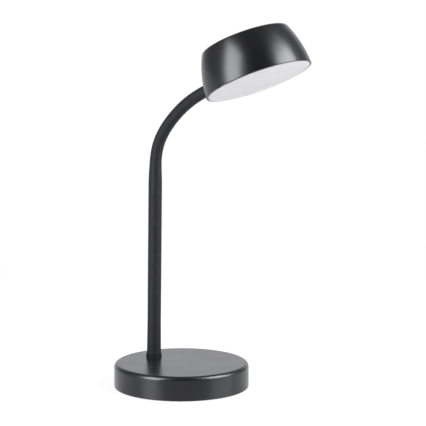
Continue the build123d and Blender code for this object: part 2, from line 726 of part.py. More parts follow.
def heat_sink():
    """Aluminium disc with radial fins, and holes for the screws and the leads."""
    sink = rod(LED_BOARD_DIAMETER / 2, led_board_top, sink_top)
    fin_length = LED_BOARD_DIAMETER / 2 - FIN_THICKNESS - FIN_INNER_RADIUS
    fin = Pos(FIN_INNER_RADIUS, 0, sink_top) * Box(
        fin_length, FIN_THICKNESS, FIN_HEIGHT, align=(Align.MIN, Align.CENTER, Align.MIN)
    )
    for i in range(FIN_COUNT):
        sink += Rot(0, 0, 360 / FIN_COUNT * (i + 0.5)) * fin
    for place in head_screw_places():
        sink -= place * rod(SMALL_SCREW_DIAMETER / 2 + HOLE_EASE, led_board_top, sink_top)
    sink -= Pos(-LEAD_DROP_RADIUS, 0, 0) * rod(lead_bore, led_board_top, sink_top)
    return sink - Pos(-SWITCH_LEAD_OFFSET, 0, 0) * rod(
        SWITCH_LEAD_DIAMETER / 2 + LEAD_EASE, led_board_top, sink_top
    )


def head_screws():
    """Screws into the head's bosses and the switch bosses, all from below."""
    places = [place * Pos(0, 0, reflector_top) for place in head_screw_places()]
    screws = [place * pan_screw(led_stack + small_shank - SLIP) for place in places]
    board_places = [place * Pos(0, 0, switch_board_bottom) for place in switch_screw_places()]
    return Compound(children=screws + [place * pan_screw(small_shank) for place in board_places])


# ---------------------------------------------------------------- arm's end in the head
def tip_sleeve():
    """Last of the sleeve, from the last socket to the head's side."""
    socket = neck_radius + BALL_GAP
    inner = neck_radius - SLEEVE_WALL
    rim = (neck_radius, sqrt(socket**2 - neck_radius**2))
    seat = (inner, sqrt(socket**2 - inner**2))
    end = TIP_LENGTH + HEAD_WALL
    tube = neck_frames[-1] * turned(
        ball_arc(0, socket, seat, rim),
        Line(rim, (neck_radius, end)),
        Line((neck_radius, end), (inner, end)),
        Line((inner, end), seat),
    )
    return tube - head_frame * head_profile(-SLIP, 0, HEAD_HEIGHT, HEAD_EDGE)


def tip_ferrule():
    """Hollow fitting in the last of the neck, threaded where it passes the head's side."""
    socket = neck_radius + BALL_GAP
    seat = (tip_thread_radius, sqrt(socket**2 - tip_thread_radius**2))
    bore = (lead_bore, sqrt(socket**2 - lead_bore**2))
    end = TIP_LENGTH + entry_radius - tip_thread_end
    return neck_frames[-1] * turned(
        ball_arc(0, socket, bore, seat),
        Line(seat, (tip_thread_radius, end)),
        Line((tip_thread_radius, end), (lead_bore, end)),
        Line((lead_bore, end), bore),
    )


def tip_washer():
    """Washer on the flat boss inside the head."""
    return entry_rod(TIP_WASHER_DIAMETER / 2, tip_nut_face, boss_face) - entry_rod(
        tip_thread_radius + HOLE_EASE, tip_nut_face, boss_face
    )


def tip_nut():
    """Nut that holds the arm's end in the head."""
    nut = hexagon_nut(TIP_NUT_FLATS, tip_thread_radius + SLIP, 0, TIP_NUT_THICKNESS)
    return Pos(-tip_nut_face, 0, ENTRY_HEIGHT) * Rot(0, 90, 0) * nut


def head_lead():
    """Inner lead from the last ball centre, through the fitting and down to the LED board."""
    start = Vector(lead_radius + BALL_GAP - entry_radius - TIP_LENGTH, 0, ENTRY_HEIGHT)
    corner = Vector(-LEAD_DROP_RADIUS, 0, ENTRY_HEIGHT)
    end = Vector(-LEAD_DROP_RADIUS, 0, led_board_top)
    return lead_along([start, corner, end], LEAD_BEND_RADIUS, lead_radius)


# ---------------------------------------------------------------- switch
def switch_button():
    """Round push button with a dished top and a retaining flange under the head's top."""
    dish_rim = (button_radius - BUTTON_DISH, button_top)
    dish_middle = (0, button_top - BUTTON_DISH)
    dish_radius = (dish_rim[0] ** 2 + BUTTON_DISH**2) / (2 * BUTTON_DISH)
    flange = button_radius + BUTTON_FLANGE_WIDTH
    flange_top = head_ceiling - SEAT_GAP
    return turned(
        Line((0, button_bottom), (flange, button_bottom)),
        Line((flange, button_bottom), (flange, flange_top)),
        Line((flange, flange_top), (button_radius, flange_top)),
        Line((button_radius, flange_top), (button_radius, button_top - BUTTON_DISH)),
        Line((button_radius, button_top - BUTTON_DISH), dish_rim),
        ball_arc(dish_middle[1] + dish_radius, dish_radius, dish_rim, dish_middle),
        Line(dish_middle, (0, button_bottom)),
    )


def tact_switch():
    """Square switch with a round plunger under the button."""
    body = Pos(0, 0, switch_board_top) * Box(TACT_SIZE, TACT_SIZE, TACT_HEIGHT, align=UP)
    return body + rod(PLUNGER_DIAMETER / 2, switch_board_top + TACT_HEIGHT, plunger_top)


def switch_board():
    """Board that carries the switch, under two bosses."""
    board = Pos(0, 0, switch_board_bottom) * Box(
        SWITCH_BOARD_WIDTH, SWITCH_BOARD_LENGTH, SWITCH_BOARD_THICKNESS, align=UP
    )
    for place in switch_screw_places():
        board -= place * rod(SMALL_SCREW_DIAMETER / 2 + HOLE_EASE, switch_board_bottom, switch_board_top)
    return board


def switch_lead():
    """Thin lead from the switch board straight down to the LED board."""
    return Pos(-SWITCH_LEAD_OFFSET, 0, 0) * rod(SWITCH_LEAD_DIAMETER / 2, led_board_top, switch_board_bottom)


# ---------------------------------------------------------------- assembly
def make_parts():
    """Every node in its place."""
    nodes = {
        "base_cover": base_cover(),
        "ballast_plate": ballast_plate(),
        "base_plate": base_plate(),
        "foot_pad": foot_pad(),
        "base_screws": base_screws(),
        "power_board": power_board(),
        "power_socket": power_socket(),
        "board_screws": board_screws(),
        "root_ferrule": root_ferrule(),
        "root_washer": root_washer(),
        "root_nut": root_nut(),
        "stem_collar": stem_collar(),
        "stem_tube": stem_tube(),
        "stem_sleeve": stem_sleeve(),
        "stem_lead": stem_lead(),
        "neck_socket": neck_socket(),
        "tip_sleeve": tip_sleeve(),
        "tip_ferrule": tip_ferrule(),
    }
    first = (stem_top_radius, neck_radius)
    later = (neck_radius, neck_radius)
    shapes = {radii: (neck_core(*radii), neck_sleeve(*radii)) for radii in (first, later)}
    lead = neck_lead()
    for number in range(1, section_count + 1):
        frame = neck_frames[number - 1]
        core, sleeve = shapes[first if number == 1 else later]
        nodes[f"neck_core_{number}"] = frame * core
        nodes[f"neck_sleeve_{number}"] = frame * sleeve
        nodes[f"neck_lead_{number}"] = frame * lead
    head_makers = (
        head_shell,
        diffuser,
        reflector,
        led_board,
        led_chips,
        heat_sink,
        head_screws,
        tip_washer,
        tip_nut,
        head_lead,
        switch_button,
        tact_switch,
        switch_board,
        switch_lead,
    )
    for maker in head_makers:
        nodes[maker.__name__] = head_frame * maker()
    return nodes


os.makedirs("parts", exist_ok=True)
for node_name, node_shape in make_parts().items():
    save(node_name, node_shape)
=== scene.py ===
"""Looks of a gooseneck desk lamp, laid out as an add-on and run as a script.

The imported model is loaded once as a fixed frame.  The rubber sleeve of the stem and the neck is
made here as one smooth skin in ten lengths, one for each joint, and every other piece keeps its
place and gets its finish.  Lengths are metres in the lamp's own frame: +Z up, +X the way the lamp
reaches.
"""

import json
from math import atan, cos, pi, radians, sin

import bpy
import numpy as np
from bpy.props import FloatProperty, FloatVectorProperty, PointerProperty
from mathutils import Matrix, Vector


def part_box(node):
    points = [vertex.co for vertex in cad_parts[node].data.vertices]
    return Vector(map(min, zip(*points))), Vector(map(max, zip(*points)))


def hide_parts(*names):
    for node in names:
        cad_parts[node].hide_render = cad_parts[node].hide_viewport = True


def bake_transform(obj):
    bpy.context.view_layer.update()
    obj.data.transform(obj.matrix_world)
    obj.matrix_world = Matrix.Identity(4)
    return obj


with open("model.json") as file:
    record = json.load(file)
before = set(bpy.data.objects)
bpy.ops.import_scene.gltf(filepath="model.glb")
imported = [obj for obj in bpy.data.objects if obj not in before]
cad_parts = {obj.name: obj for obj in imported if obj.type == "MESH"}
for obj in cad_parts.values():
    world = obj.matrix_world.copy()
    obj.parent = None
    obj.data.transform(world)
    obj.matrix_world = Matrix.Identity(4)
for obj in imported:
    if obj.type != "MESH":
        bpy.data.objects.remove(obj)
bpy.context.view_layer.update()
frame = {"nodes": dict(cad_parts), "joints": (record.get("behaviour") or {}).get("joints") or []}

bl_info = {
    "name": "Gooseneck desk lamp",
    "version": (1, 0, 0),
    "blender": (4, 5, 0),
    "location": "3D View > Sidebar > Desk Lamp",
    "description": "Rubber sleeve, shells, diffuser, switch and stage of a gooseneck desk lamp",
    "category": "Add Mesh",
}

MM = 0.001

# ---------------------------------------------------------------- places read from the frame
JOINTS = {joint["name"]: joint for joint in frame["joints"]}
NECK_JOINTS = [joint for joint in frame["joints"] if joint["name"].startswith("neck_")]
BALL_CENTRES = np.array([joint["pos_m"] for joint in NECK_JOINTS])
COLLAR_LOW, COLLAR_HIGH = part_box("stem_collar")
FOOT = np.array([(COLLAR_LOW.x + COLLAR_HIGH.x) / 2, 0.0, COLLAR_LOW.z])
HEAD_UP = -Vector(JOINTS["switch_press"]["axis"])
HEAD_FORWARD = Vector((HEAD_UP.z, 0, -HEAD_UP.x))
DISC_LOW, DISC_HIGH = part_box("diffuser")
DISC_MIDDLE_HEIGHT = 0.7 * MM  # of the diffuser's middle above the head's rim

# The camera's lens, in pixels of a frame 426 pixels wide.
HALF_FRAME = 213
FOCAL_LENGTH = 2651.7


# ---------------------------------------------------------------- what a user may change
class LampSizes(bpy.types.PropertyGroup):
    """Sizes of the pieces that are made here."""

    stem_diameter: FloatProperty(
        name="Stem", description="Diameter of the sleeve over the stem", default=12.1 * MM,
        unit="LENGTH",
    )
    foot_diameter: FloatProperty(
        name="Stem's foot", description="Diameter of the sleeve where it leaves the base",
        default=12.7 * MM, unit="LENGTH",
    )
    foot_length: FloatProperty(
        name="Foot length", description="Height above the base over which the sleeve narrows",
        default=36 * MM, unit="LENGTH",
    )
    neck_diameter: FloatProperty(
        name="Neck", description="Diameter of the sleeve over the neck", default=10.5 * MM,
        unit="LENGTH",
    )
    taper_length: FloatProperty(
        name="Taper", description="Length below the first ball centre where the sleeve narrows",
        default=17 * MM, unit="LENGTH",
    )
    sleeve_wall: FloatProperty(
        name="Sleeve wall", description="Thickness of the rubber sleeve", default=0.7 * MM,
        unit="LENGTH",
    )
    sleeve_rise: FloatProperty(
        name="Sleeve start", description="Height of the sleeve's lower end above the base's top",
        default=1.6 * MM, unit="LENGTH",
    )
    head_diameter: FloatProperty(
        name="Head", description="Diameter of the head at its rim", default=95 * MM, unit="LENGTH"
    )
    head_side_radius: FloatProperty(
        name="Bow", description="Radius of the head's bowed side", default=100 * MM, unit="LENGTH"
    )
    head_belly_drop: FloatProperty(
        name="Belly", description="Drop below the rim at which the bowed side would be upright",
        default=3.7 * MM, unit="LENGTH",
    )
    entry_height: FloatProperty(
        name="Arm entry", description="Height of the arm's axis above the head's rim",
        default=15 * MM, unit="LENGTH",
    )


class LampFinishes(bpy.types.PropertyGroup):
    """Colours of the lamp's finishes."""

    shell: FloatVectorProperty(
        name="Shells", description="Paint of the base and the head", subtype="COLOR",
        default=(0.0035, 0.0036, 0.0039), min=0, max=1,
    )
    sleeve: FloatVectorProperty(
        name="Sleeve", description="Rubber of the stem and the neck", subtype="COLOR",
        default=(0.0115, 0.0118, 0.0125), min=0, max=1,
    )
    trim: FloatVectorProperty(
        name="Trim", description="Foot collar and switch button", subtype="COLOR",
        default=(0.006, 0.006, 0.0065), min=0, max=1,
    )
    opal: FloatVectorProperty(
        name="Diffuser", description="Opal disc under the head", subtype="COLOR",
        default=(0.65, 0.645, 0.64), min=0, max=1,
    )
    pad: FloatVectorProperty(
        name="Pad", description="Foam pad under the base", subtype="COLOR",
        default=(0.06, 0.06, 0.065), min=0, max=1,
    )


class LampStage(bpy.types.PropertyGroup):
    """Camera, light and floor."""

    azimuth: FloatProperty(
        name="Azimuth", description="Turn of the camera round the lamp, from the front",
        default=radians(42.554), subtype="ANGLE",
    )
    pitch: FloatProperty(
        name="Pitch", description="How far the camera looks down", default=radians(9.73),
        subtype="ANGLE",
    )
    distance: FloatProperty(
        name="Distance", description="From the camera to the point it looks at", default=2.3434,
        unit="LENGTH",
    )
    target_shift: FloatProperty(
        name="Target shift", description="Sideways place of the point looked at",
        default=28.17 * MM, unit="LENGTH",
    )
    target_height: FloatProperty(
        name="Target height", description="Height of the point looked at", default=157.13 * MM,
        unit="LENGTH",
    )
    half_view: FloatProperty(
        name="Half view", description="Half of the camera's angle of view", subtype="ANGLE",
        default=atan(HALF_FRAME / FOCAL_LENGTH),
    )
    ambient: FloatProperty(
        name="Ambient", description="Level of the room's light", default=0.33, min=0
    )
    wall_gloss: FloatProperty(
        name="Wall behind", description="Level that gloss finds on the wall behind the lamp",
        default=0.81, min=0,
    )
    front_gloss: FloatProperty(
        name="Room in front", description="Level that gloss finds on the camera's side of the room",
        default=0.023, min=0,
    )
    side_gloss: FloatProperty(
        name="Room at the sides", description="Level that gloss finds at the sides of the room",
        default=0.243, min=0,
    )
    left_level: FloatProperty(
        name="Left box", description="Brightness of the soft box on the left", default=7.7, min=0
    )
    right_level: FloatProperty(
        name="Right box", description="Brightness of the soft box on the right", default=6.55, min=0
    )
    high_level: FloatProperty(
        name="High box", description="Brightness of the soft box above the right one", default=2.7,
        min=0,
    )


# ---------------------------------------------------------------- surfaces
def ring_surface(name, rings, sharp_rings):
    """Mesh from a grid of points, rings[i, j]: ring i, place j round it.

    Face (i, j) joins places j and j + 1 of rings i and i + 1.  Places wrap round and so do rings,
    which closes the wall.  Faces look outwards when places turn anticlockwise seen from the way the
    rings advance on the outside.  The rings named in sharp_rings are sharp edges.
    """
    ring_count, place_count = rings.shape[:2]
    ring = np.arange(ring_count)[:, None]
    place = np.arange(place_count)[None, :]
    next_ring = (ring + 1) % ring_count
    next_place = (place + 1) % place_count
    corners = np.stack(
        [
            ring * place_count + place,
            ring * place_count + next_place,
            next_ring * place_count + next_place,
            next_ring * place_count + place,
        ],
        axis=-1,
    ).reshape(-1, 4)
    mesh = bpy.data.meshes.new(name)
    points = rings.reshape(-1, 3)
    mesh.vertices.add(len(points))
    mesh.vertices.foreach_set("co", points.astype(np.float32).ravel())
    mesh.loops.add(corners.size)
    mesh.loops.foreach_set("vertex_index", corners.astype(np.int32).ravel())
    mesh.polygons.add(len(corners))
    mesh.polygons.foreach_set("loop_start", np.arange(0, corners.size, 4, dtype=np.int32))
    mesh.update(calc_edges=True)
    mesh.validate()
    ends = np.empty(len(mesh.edges) * 2, dtype=np.int32)
    mesh.edges.foreach_get("vertices", ends)
    edge_rings = ends.reshape(-1, 2) // place_count
    sharp = (edge_rings[:, 0] == edge_rings[:, 1]) & np.isin(edge_rings[:, 0], list(sharp_rings))
    marks = mesh.attributes.new("sharp_edge", "BOOLEAN", "EDGE")
    marks.data.foreach_set("value", sharp)
    piece = bpy.data.objects.new(name, mesh)
    bpy.context.scene.collection.objects.link(piece)
    return piece


def keep_rest_place(piece):
    """Store each point's place at rest, so that a pattern stays on the skin as the neck bends."""
    mesh = piece.data
    points = np.empty(len(mesh.vertices) * 3, dtype=np.float32)
    mesh.vertices.foreach_get("co", points)
    mesh.attributes.new("rest_place", "FLOAT_VECTOR", "POINT").data.foreach_set("vector", points)


def straight(start, end, steps):
    """Evenly spaced points from start to end, and their one direction."""
    share = np.linspace(0, 1, steps)[:, None]
    points = start + (end - start) * share
    direction = (end - start) / np.linalg.norm(end - start)
    return points, np.repeat(direction[None, :], steps, axis=0)


def curved(start, control, end, steps):
    """Points and directions of (1 - t)^2 start + 2 t (1 - t) control + t^2 end."""
    t = np.linspace(0, 1, steps)[:, None]
    points = (1 - t) ** 2 * start + 2 * t * (1 - t) * control + t**2 * end
    slopes = (1 - t) * (control - start) + t * (end - control)
    return points, slopes / np.linalg.norm(slopes, axis=1, keepdims=True)


def rings_along(points, directions, radii, place_count):
    """Circles about a path in the XZ plane: point + radius (cos a across + sin a sideways)."""
    across = np.stack([directions[:, 2], np.zeros(len(points)), -directions[:, 0]], axis=1)
    sideways = np.array([0.0, 1.0, 0.0])
    angle = np.linspace(0, 2 * pi, place_count, endpoint=False)
    spokes = (
        np.cos(angle)[None, :, None] * across[:, None, :]
        + np.sin(angle)[None, :, None] * sideways
    )
    return points[:, None, :] + radii[:, None, None] * spokes


def smooth_step(value):
    """Rise from 0 to 1 with level ends: 3 v^2 - 2 v^3."""
    value = np.clip(value, 0, 1)
    return value * value * (3 - 2 * value)


def head_side(sizes, height):
    """Radius of the head at a height above its rim: an arc about a centre below the rim's level."""
    arc = sizes.head_side_radius
    drop = sizes.head_belly_drop
    rim_fall = arc - np.sqrt(arc**2 - drop**2)
    fall = arc - np.sqrt(arc**2 - (drop + height) ** 2)
    return sizes.head_diameter / 2 + rim_fall - fall


def head_point(forward, sideways, height):
    """Place in the lamp's frame of a head's point, given along its axes from the rim's centre."""
    disc_middle = (DISC_LOW + DISC_HIGH) / 2
    rim_centre = disc_middle - HEAD_UP * DISC_MIDDLE_HEIGHT
    return rim_centre + HEAD_FORWARD * forward + Vector((0, sideways, 0)) + HEAD_UP * height


def grey(level):
    """A grey as a colour with its alpha."""
    return (level, level, level, 1)


# ---------------------------------------------------------------- finishes
class Graph:
    """Shader nodes in the making."""

    MIX_INPUTS = (6, 7)  # numbers of a Mix node's colours, as their names are used more than once
    MIX_OUTPUT = 2

    def __init__(self, tree):
        self.nodes = tree.nodes
        self.link = tree.links.new

    def add(self, kind, inputs=None, **settings):
        """New node of a kind, with its settings and its inputs given as values or as links."""
        node = self.nodes.new(kind)
        for key, value in settings.items():
            setattr(node, key, value)
        for key, value in (inputs or {}).items():
            if isinstance(value, bpy.types.NodeSocket):
                self.link(value, node.inputs[key])
            else:
                node.inputs[key].default_value = value
        return node

    def math(self, operation, first, second):
        """Sum, product or the like of two values."""
        return self.add("ShaderNodeMath", {0: first, 1: second}, operation=operation).outputs[0]

    def fade(self, value, low, high):
        """Smooth rise from 0 at low to 1 at high, or fall where high is the lower."""
        inputs = {"Value": value, "From Min": low, "From Max": high}
        node = self.add("ShaderNodeMapRange", inputs, interpolation_type="SMOOTHSTEP")
        return node.outputs["Result"]

    def mix_colours(self, share, first, second):
        """Colour between two, by a share."""
        node = self.add("ShaderNodeMix", {"Factor": share}, data_type="RGBA")
        for number, colour in zip(self.MIX_INPUTS, (first, second)):
            node.inputs[number].default_value = colour
        return node.outputs[self.MIX_OUTPUT]

    def mix_shaders(self, share, first, second):
        """Shader between two, by a share."""
        return self.add("ShaderNodeMixShader", {0: share, 1: first, 2: second}).outputs[0]

    def add_shaders(self, first, second):
        """Both shaders together."""
        return self.add("ShaderNodeAddShader", {0: first, 1: second}).outputs[0]

    def rays(self):
        """Kinds of ray, and a share that is 1 for what gloss or a clear piece sees."""
        ray = self.add("ShaderNodeLightPath").outputs
        return ray, self.math("MAXIMUM", ray["Is Glossy Ray"], ray["Is Transmission Ray"])


class Finish(Graph):
    """A Principled material and the nodes that vary it over the surface."""

    NOISE_ROUGHNESS = 0.55
    NOISE_RANGE = (0.3, 0.7)  # nearly all of a pattern's values lie between these

    def __init__(self, name, colour, roughness, source="Object", **sockets):
        self.material = bpy.data.materials.new(name)
        self.material.use_nodes = True
        super().__init__(self.material.node_tree)
        self.shader = self.nodes["Principled BSDF"]
        self.shader.inputs["Base Color"].default_value = (*colour, 1)
        self.shader.inputs["Roughness"].default_value = roughness
        self.colour = colour
        for socket, value in sockets.items():
            self.shader.inputs[socket.replace("_", " ")].default_value = value
        if source == "Object":
            self.place = self.add("ShaderNodeTexCoord").outputs["Object"]
        else:
            self.place = self.add("ShaderNodeAttribute", attribute_name=source).outputs["Vector"]

    def stretched(self, stretch):
        """The place, scaled by a factor along each axis."""
        inputs = {"Vector": self.place, "Scale": stretch}
        return self.add("ShaderNodeMapping", inputs).outputs["Vector"]

    def noise(self, grain, detail, place=None):
        """Cloudy pattern whose grain is about a size in metres, from 0 to 1."""
        inputs = {
            "Vector": place or self.place, "Scale": 1 / grain, "Detail": detail,
            "Roughness": self.NOISE_ROUGHNESS,
        }
        return self.add("ShaderNodeTexNoise", inputs).outputs["Fac"]

    def spread(self, value, between, onto):
        """A value that runs between two levels, spread onto two others."""
        inputs = {
            "Value": value, "From Min": between[0], "From Max": between[1],
            "To Min": onto[0], "To Max": onto[1],
        }
        return self.add("ShaderNodeMapRange", inputs).outputs["Result"]

    def tint(self, share, other):
        """Vary the colour towards another."""
        colour = self.mix_colours(share, (*self.colour, 1), (*other, 1))
        self.link(colour, self.shader.inputs["Base Color"])

    def vary_roughness(self, value, low, high):
        """Vary the roughness between two levels."""
        roughness = self.spread(value, between=self.NOISE_RANGE, onto=(low, high))
        self.link(roughness, self.shader.inputs["Roughness"])

    def bump(self, height, depth):
        """Raise the surface by a pattern, a depth in metres from its lowest to its highest."""
        inputs = {"Height": height, "Distance": depth, "Strength": 1.0}
        normal = self.add("ShaderNodeBump", inputs).outputs["Normal"]
        self.link(normal, self.shader.inputs["Normal"])


def lighter(colour, factor):
    """A colour made lighter or darker."""
    return tuple(min(1.0, channel * factor) for channel in colour)


def painted_shell(finishes, name, coat):
    """Black paint: faint orange peel, dust in the colour and handling marks in the gloss."""
    roughness = 0.3
    finish = Finish(
        name, finishes.shell, roughness, Coat_Weight=coat, Coat_Roughness=0.26,
        Specular_IOR_Level=0.5,
    )
    dust = finish.spread(finish.noise(grain=9 * MM, detail=6), between=(0.45, 0.75), onto=(0, 0.5))
    finish.tint(dust, lighter(finishes.shell, 1.9))
    marks = finish.noise(grain=22 * MM, detail=4)
    finish.vary_roughness(marks, low=roughness - 0.03, high=roughness + 0.03)
    finish.bump(finish.noise(grain=1.6 * MM, detail=2), depth=0.0012 * MM)
    return finish.material


def rubber_sleeve(finishes):
    """Matt silicone: fine pores, a little dust that lightens it and soft, uneven gloss."""
    finish = Finish(
        "black_sleeve", finishes.sleeve, 0.5, source="rest_place", Specular_IOR_Level=0.29
    )
    dust = finish.spread(finish.noise(grain=6 * MM, detail=6), between=(0.4, 0.8), onto=(0, 0.6))
    finish.tint(dust, lighter(finishes.sleeve, 1.6))
    finish.vary_roughness(finish.noise(grain=14 * MM, detail=4), low=0.44, high=0.56)
    finish.bump(finish.noise(grain=0.35 * MM, detail=2), depth=0.01 * MM)
    return finish.material


def moulded_trim(finishes, name, roughness, shine=0.5):
    """Fine spark-eroded plastic."""
    finish = Finish(name, finishes.trim, roughness, Specular_IOR_Level=shine)
    finish.tint(finish.noise(grain=5 * MM, detail=5), lighter(finishes.trim, 1.5))
    marks = finish.noise(grain=4 * MM, detail=3)
    finish.vary_roughness(marks, low=roughness - 0.05, high=roughness + 0.05)
    finish.bump(finish.noise(grain=0.25 * MM, detail=2), depth=0.008 * MM)
    return finish.material


def opal_disc(finishes):
    """Opal plastic with a satin face: light spreads inside it, and the face is finely frosted."""
    finish = Finish(
        "opal_diffuser", finishes.opal, 0.42, Subsurface_Weight=0.6, Subsurface_Scale=1.5 * MM,
        Subsurface_Radius=(1, 1, 1), Specular_IOR_Level=0.45,
    )
    clouds = finish.spread(finish.noise(grain=30 * MM, detail=3), between=(0.35, 0.65), onto=(0, 1))
    finish.tint(clouds, lighter(finishes.opal, 0.97))
    finish.vary_roughness(finish.noise(grain=12 * MM, detail=3), low=0.38, high=0.46)
    finish.bump(finish.noise(grain=0.3 * MM, detail=2), depth=0.006 * MM)
    return finish.material


def foam_pad(finishes):
    """Closed-cell foam: small round cells with walls between them."""
    finish = Finish("grey_pad", finishes.pad, 0.85, Specular_IOR_Level=0.25)
    cell = 0.7 * MM
    cells = finish.add("ShaderNodeTexVoronoi", {"Vector": finish.place, "Scale": 1 / cell})
    middle = cells.outputs["Distance"]
    # Painted shade: the colour is darker towards each cell's middle, where the bump below sinks it
    # into a pit, and lighter on the walls between.
    finish.tint(finish.spread(middle, between=(0, 0.6), onto=(0, 1)), lighter(finishes.pad, 1.7))
    finish.vary_roughness(finish.noise(grain=5 * MM, detail=3), low=0.8, high=0.92)
    finish.bump(middle, depth=0.12 * MM)
    return finish.material


def metal(name, colour, roughness, grain, stretch=(1, 1, 1), depth=0.01 * MM):
    """Bare or plated metal: its grain runs where the stretch is small."""
    finish = Finish(name, colour, roughness, Metallic=1.0)
    lines = finish.noise(grain, detail=4, place=finish.stretched(stretch))
    finish.tint(finish.spread(lines, between=(0.35, 0.65), onto=(0, 1)), lighter(colour, 1 / 1.15))
    finish.vary_roughness(lines, low=roughness - 0.06, high=roughness + 0.08)
    finish.bump(lines, depth)
    return finish.material


def printed_board(name, colour, copper):
    """Circuit board: solder mask with faint copper tracks under it."""
    finish = Finish(name, colour, 0.35, Coat_Weight=0.3, Coat_Roughness=0.2)
    tracks = finish.add(
        "ShaderNodeTexBrick",
        {"Vector": finish.place, "Scale": 1.0, "Mortar Size": 0.18 * MM, "Brick Width": 4.2 * MM,
         "Row Height": 1.4 * MM},
    ).outputs["Fac"]
    finish.tint(finish.spread(tracks, between=(0, 1), onto=(0, 0.7)), copper)
    finish.vary_roughness(finish.noise(grain=3 * MM, detail=3), low=0.3, high=0.42)
    finish.bump(tracks, depth=0.02 * MM)
    return finish.material


def led_gel():
    """Phosphor gel: warm yellow, glossy and slightly mottled."""
    colour = (0.9, 0.72, 0.18)
    finish = Finish("led_yellow", colour, 0.22, Subsurface_Weight=0.3, Subsurface_Scale=0.3 * MM)
    finish.tint(finish.noise(grain=0.8 * MM, detail=3), (0.82, 0.55, 0.1))
    finish.vary_roughness(finish.noise(grain=0.5 * MM, detail=2), low=0.18, high=0.3)
    finish.bump(finish.noise(grain=0.4 * MM, detail=2), depth=0.01 * MM)
    return finish.material


def lead_jacket():
    """Soft white insulation with a slight nap of talc."""
    colour = (0.72, 0.72, 0.7)
    finish = Finish("lead_jacket", colour, 0.6, Specular_IOR_Level=0.35)
    finish.tint(finish.noise(grain=2 * MM, detail=4), lighter(colour, 0.88))
    finish.vary_roughness(finish.noise(grain=3 * MM, detail=3), low=0.52, high=0.68)
    finish.bump(finish.noise(grain=0.4 * MM, detail=2), depth=0.01 * MM)
    return finish.material


def white_reflector():
    """Matt white moulding with faint flow marks."""
    colour = (0.88, 0.88, 0.87)
    finish = Finish("white_reflector", colour, 0.6, Specular_IOR_Level=0.3)
    flow = finish.noise(grain=8 * MM, detail=3, place=finish.stretched((1, 1, 4)))
    finish.tint(flow, lighter(colour, 0.94))
    finish.vary_roughness(finish.noise(grain=6 * MM, detail=3), low=0.54, high=0.66)
    finish.bump(finish.noise(grain=0.3 * MM, detail=2), depth=0.006 * MM)
    return finish.material


def all_finishes(finishes):
    """Every slot's material, by the slot's name."""
    return {
        "black_shell": painted_shell(finishes, "black_shell", coat=0.7),
        "gloss_shell": painted_shell(finishes, "gloss_shell", coat=0.42),
        "black_sleeve": rubber_sleeve(finishes),
        "black_trim": moulded_trim(finishes, "black_trim", 0.62, shine=0.2),
        "black_button": moulded_trim(finishes, "black_button", 0.42),
        "switch_black": moulded_trim(finishes, "switch_black", 0.5),
        "opal_diffuser": opal_disc(finishes),
        "grey_pad": foam_pad(finishes),
        "ballast_steel": metal(
            "ballast_steel", (0.22, 0.22, 0.23), 0.55, 1.5 * MM, depth=0.05 * MM
        ),
        "zinc_steel": metal("zinc_steel", (0.62, 0.63, 0.65), 0.3, 0.5 * MM),
        "arm_steel": metal("arm_steel", (0.45, 0.45, 0.47), 0.32, 0.3 * MM, stretch=(1, 1, 0.05)),
        "sink_aluminium": metal(
            "sink_aluminium", (0.72, 0.73, 0.75), 0.45, 0.6 * MM, depth=0.03 * MM
        ),
        "lead_jacket": lead_jacket(),
        "green_board": printed_board("green_board", (0.02, 0.16, 0.06), (0.05, 0.3, 0.12)),
        "white_board": printed_board("white_board", (0.85, 0.85, 0.83), (0.72, 0.72, 0.7)),
        "led_yellow": led_gel(),
        "white_reflector": white_reflector(),
    }


def dress(piece, slot):
    """Give a new piece the finish of a slot."""
    piece.data.materials.append(bpy.data.materials[slot])


# ---------------------------------------------------------------- operators
class LAMP_OT_finishes(bpy.types.Operator):
    """Make every finish and give it to the pieces that keep their own shape"""

    bl_idname = "lamp.finishes"
    bl_label = "Finishes"

    def execute(self, context):
        for piece in frame["nodes"].values():
            for slot in piece.material_slots:
                slot.material.name = "plain_" + slot.material.name.removeprefix("plain_")
        materials = all_finishes(context.scene.lamp_finishes)
        for piece in frame["nodes"].values():
            for slot in piece.material_slots:
                slot.material = materials[slot.material.name.removeprefix("plain_")]
        frame["nodes"]["head_shell"].material_slots[0].material = materials["gloss_shell"]
        return {"FINISHED"}


